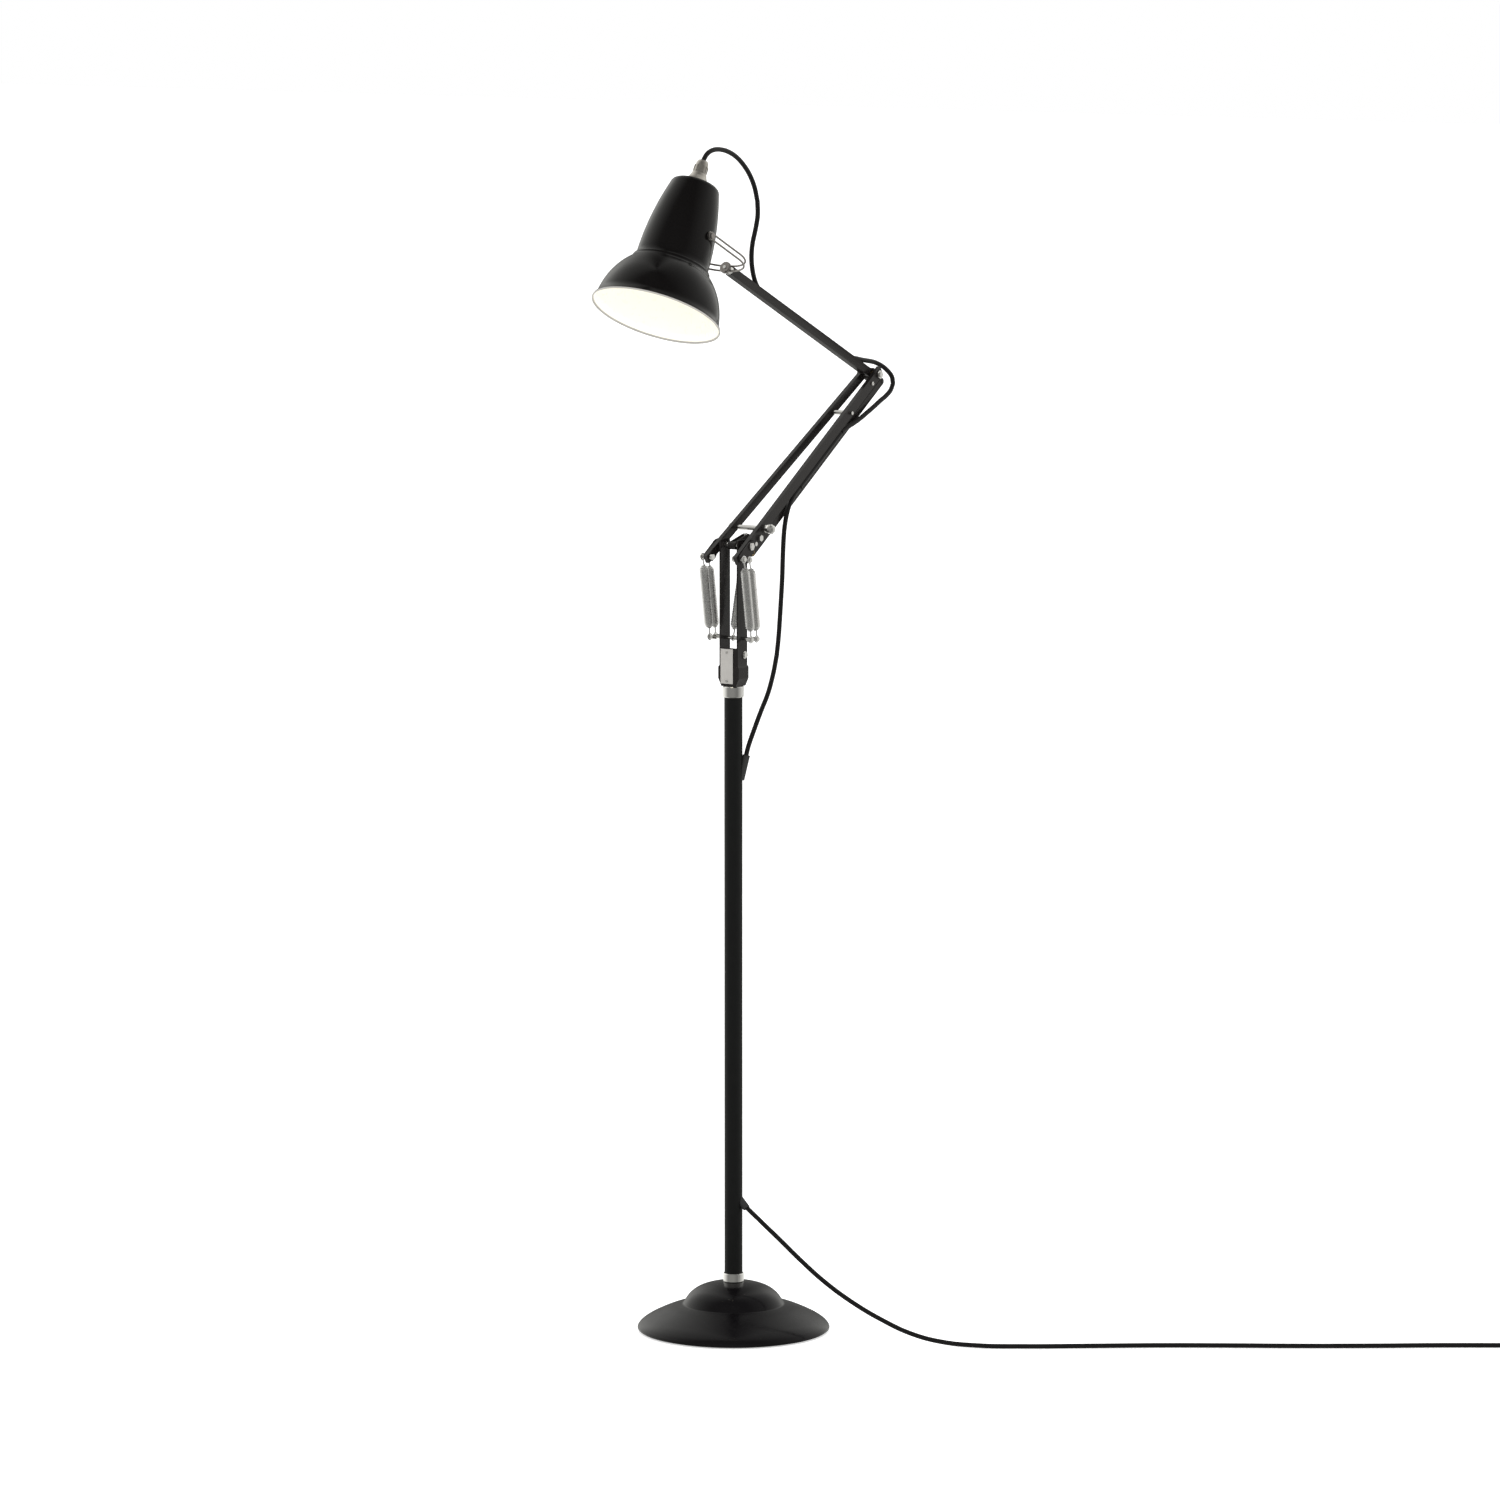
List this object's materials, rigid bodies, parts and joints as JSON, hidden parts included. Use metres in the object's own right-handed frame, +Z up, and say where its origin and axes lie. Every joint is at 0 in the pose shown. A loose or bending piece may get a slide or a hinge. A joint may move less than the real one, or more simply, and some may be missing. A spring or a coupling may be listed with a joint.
{
  "type": "adjustable arm floor lamp",
  "caption": "Floor lamp with a round weighted base, a pole, a spring-balanced folding arm with a parallel link, and a bell shade that tilts and swivels in a wire fork.",
  "frame": {"origin": "centre of the base's underside", "axes": "+Z up along the pole; the arms fold in the XZ plane; the head reaches towards -X; arm hinges run along Y"},
  "size_m": [0.6797, 1.0943, 1.3517],
  "materials": {
    "gloss_black": "gloss",
    "satin_black": "satin",
    "shade_black": "gloss paint",
    "chrome": "polished",
    "dark_steel": "satin",
    "steel": "plain",
    "cap_silver": "satin",
    "cast_iron": "rough",
    "foot_rubber": "matte",
    "grommet_rubber": "matte",
    "label_silver": "satin",
    "brass": "plain",
    "holder_white": "matte",
    "bulb_glass": "frosted",
    "bulb_cap": "plain",
    "cord_black": "satin",
    "plug_black": "matte",
    "pin_nickel": "polished"
  },
  "bodies": {
    "stand": {"foot_pad": "foot_rubber", "base_weight": "cast_iron", "base_cover": "gloss_black", "base_collar": "chrome", "pole": "satin_black", "pole_nut": "steel", "upper_grommet": "grommet_rubber", "lower_grommet": "grommet_rubber", "top_collar": "chrome", "bracket_spindle": "steel", "floor_cord": "cord_black", "cord_coil": "cord_black", "cord_tie": "cord_black", "cord_tail": "cord_black", "plug_body": "plug_black", "plug_pins": "pin_nickel"},
    "bracket": {"bracket": "gloss_black", "label_plate": "label_silver", "bracket_screws": "chrome", "anchor_rod": "chrome", "anchor_clips": "chrome", "front_springs": "chrome", "rear_springs": "chrome", "middle_spring": "chrome", "hanging_cord": "cord_black"},
    "crank": {"main_axle": "chrome", "axle_nuts": "chrome", "spring_lever": "gloss_black", "link_lever": "gloss_black"},
    "link_bush": {"link_bush": "brass"},
    "link_bar": {"link_bar": "gloss_black"},
    "lower_arm": {"near_bar": "gloss_black", "far_bar": "gloss_black", "tail_plates": "gloss_black", "spring_pins": "chrome", "lower_tie_rod": "chrome", "upper_tie_rod": "chrome", "elbow_axle": "chrome", "elbow_nuts": "chrome", "elbow_spacers": "chrome", "bar_screws": "chrome", "lower_arm_cord": "cord_black"},
    "friction_knob": {"friction_knob": "chrome"},
    "elbow_bush": {"elbow_bush": "brass", "elbow_cord": "cord_black"},
    "upper_arm": {"upper_arm": "gloss_black", "upper_arm_cord": "cord_black", "arm_end_plug": "steel"},
    "fork": {"stirrup": "chrome", "swivel_disc": "dark_steel", "swivel_stud": "chrome", "head_cord": "cord_black"},
    "shade": {"shade": "shade_black", "shade_screws": "dark_steel", "shade_washers": "chrome", "lampholder": "holder_white", "shade_cap": "cap_silver", "cord_grip": "cap_silver", "bulb_glass": "bulb_glass", "bulb_cap": "bulb_cap"}
  },
  "joints": [
    {"name": "bracket_swivel", "type": "hinge", "parent": "stand", "child": "bracket", "pos_m": [0, 0, 0.752], "axis": [0, 0, 1], "range_deg": [-170, 170], "deforming": ["hanging_cord"]},
    {"name": "shoulder", "type": "hinge", "parent": "bracket", "child": "lower_arm", "pos_m": [0, 0, 0.902], "axis": [0, -1, 0], "range_deg": [-15, 45], "deforming": ["front_springs", "rear_springs", "hanging_cord"]},
    {"name": "elbow_level", "type": "hinge", "parent": "lower_arm", "child": "elbow_bush", "pos_m": [0.26882, 0, 1.07926], "axis": [0, -1, 0], "range_deg": [-45, 15], "deforming": ["elbow_cord"]},
    {"name": "elbow", "type": "hinge", "parent": "elbow_bush", "child": "upper_arm", "pos_m": [0.26882, 0, 1.07926], "axis": [0, -1, 0], "range_deg": [-45, 15], "deforming": ["elbow_cord", "middle_spring"]},
    {"name": "crank_turn", "type": "hinge", "parent": "bracket", "child": "crank", "pos_m": [0, 0, 0.902], "axis": [0, -1, 0], "range_deg": [-45, 15], "deforming": ["middle_spring"]},
    {"name": "link_level", "type": "hinge", "parent": "crank", "child": "link_bush", "pos_m": [0.01559, -0.0156, 0.893], "axis": [0, -1, 0], "range_deg": [-15, 45]},
    {"name": "link_swing", "type": "hinge", "parent": "link_bush", "child": "link_bar", "pos_m": [0.01559, -0.0156, 0.893], "axis": [0, -1, 0], "range_deg": [-15, 45]},
    {"name": "head_swivel", "type": "hinge", "parent": "upper_arm", "child": "fork", "pos_m": [-0.00668, 0, 1.21244], "axis": [-0.9003, 0, 0.4352], "range_deg": [-60, 60], "deforming": ["head_cord"]},
    {"name": "shade_tilt", "type": "hinge", "parent": "fork", "child": "shade", "pos_m": [-0.09941, 0, 1.25726], "axis": [0, -1, 0], "range_deg": [-45, 35], "deforming": ["head_cord"]},
    {"name": "knob_turn", "type": "hinge", "parent": "lower_arm", "child": "friction_knob", "pos_m": [0.02893, -0.0307, 0.91988], "axis": [0, 1, 0], "range_deg": [-180, 180]}
  ],
  "couplings": [
    {"joint": "elbow_level", "follows": "shoulder", "ratio": -1},
    {"joint": "crank_turn", "follows": "elbow", "ratio": 1},
    {"joint": "link_level", "follows": "elbow", "ratio": -1},
    {"joint": "link_swing", "follows": "shoulder", "ratio": 1}
  ]
}
